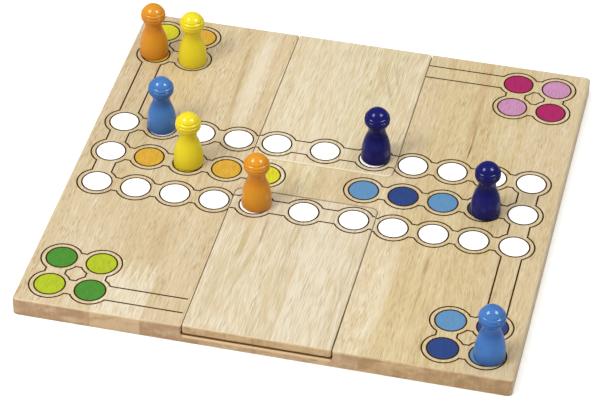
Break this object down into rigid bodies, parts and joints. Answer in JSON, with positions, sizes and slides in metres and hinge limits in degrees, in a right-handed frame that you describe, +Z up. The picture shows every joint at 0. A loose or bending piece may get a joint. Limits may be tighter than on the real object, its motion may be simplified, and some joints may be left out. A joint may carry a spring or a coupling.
{
  "type": "two-sided ludo board",
  "caption": "Square wooden ludo board glued up from staves, with reversible inserts lying in two pockets open at the edges, and turned pawns standing on it.",
  "frame": {"origin": "middle of the underside of the board", "axes": "+Z up from the underside through the playing face, +Y to the back edge along the grain, +X to the right"},
  "size_m": [0.3, 0.3, 0.0508],
  "materials": {
    "board_wood": "satin",
    "insert_wood": "satin",
    "orange_paint": "gloss",
    "yellow_paint": "gloss",
    "light_blue_paint": "gloss",
    "dark_blue_paint": "gloss",
    "white_print": "satin",
    "orange_print": "satin",
    "yellow_print": "satin",
    "light_blue_print": "satin",
    "dark_blue_print": "satin",
    "green_print": "satin",
    "light_green_print": "satin",
    "magenta_print": "satin",
    "pink_print": "satin",
    "line_print": "satin"
  },
  "bodies": {
    "board": {"board_stave_1": "board_wood", "board_stave_10": "board_wood", "board_stave_2": "board_wood", "board_stave_3_back": "board_wood", "board_stave_3_front": "board_wood", "board_stave_4": "board_wood", "board_stave_5": "board_wood", "board_stave_6": "board_wood", "board_stave_7": "board_wood", "board_stave_8": "board_wood", "board_stave_9": "board_wood"},
    "front_insert": {"front_insert_stave_1": "insert_wood", "front_insert_stave_2": "insert_wood", "front_insert_stave_3": "insert_wood", "front_insert_stave_4": "insert_wood"},
    "back_insert": {"back_insert_stave_1": "insert_wood", "back_insert_stave_2": "insert_wood", "back_insert_stave_3": "insert_wood", "back_insert_stave_4": "insert_wood"},
    "pawn_dark_blue_1": {"pawn_dark_blue_1": "dark_blue_paint"},
    "pawn_dark_blue_2": {"pawn_dark_blue_2": "dark_blue_paint"},
    "pawn_light_blue_1": {"pawn_light_blue_1": "light_blue_paint"},
    "pawn_light_blue_2": {"pawn_light_blue_2": "light_blue_paint"},
    "pawn_orange_1": {"pawn_orange_1": "orange_paint"},
    "pawn_orange_2": {"pawn_orange_2": "orange_paint"},
    "pawn_yellow_1": {"pawn_yellow_1": "yellow_paint"},
    "pawn_yellow_2": {"pawn_yellow_2": "yellow_paint"}
  },
  "joints": [
    {"name": "front_insert_slide", "type": "slide", "parent": "board", "child": "front_insert", "axis": [0, -1, 0], "range_m": [0, 0.133]},
    {"name": "back_insert_slide", "type": "slide", "parent": "board", "child": "back_insert", "axis": [0, 1, 0], "range_m": [0, 0.134]},
    {"name": "pawn_dark_blue_1_lift", "type": "slide", "parent": "back_insert", "child": "pawn_dark_blue_1", "axis": [0, 0, 1], "range_m": [0, 0.05]},
    {"name": "pawn_dark_blue_2_lift", "type": "slide", "parent": "board", "child": "pawn_dark_blue_2", "axis": [0, 0, 1], "range_m": [0, 0.05]},
    {"name": "pawn_light_blue_1_lift", "type": "slide", "parent": "board", "child": "pawn_light_blue_1", "axis": [0, 0, 1], "range_m": [0, 0.05]},
    {"name": "pawn_light_blue_2_lift", "type": "slide", "parent": "board", "child": "pawn_light_blue_2", "axis": [0, 0, 1], "range_m": [0, 0.05]},
    {"name": "pawn_orange_1_lift", "type": "slide", "parent": "board", "child": "pawn_orange_1", "axis": [0, 0, 1], "range_m": [0, 0.05]},
    {"name": "pawn_orange_2_lift", "type": "slide", "parent": "front_insert", "child": "pawn_orange_2", "axis": [0, 0, 1], "range_m": [0, 0.05]},
    {"name": "pawn_yellow_1_lift", "type": "slide", "parent": "board", "child": "pawn_yellow_1", "axis": [0, 0, 1], "range_m": [0, 0.05]},
    {"name": "pawn_yellow_2_lift", "type": "slide", "parent": "board", "child": "pawn_yellow_2", "axis": [0, 0, 1], "range_m": [0, 0.05]}
  ]
}
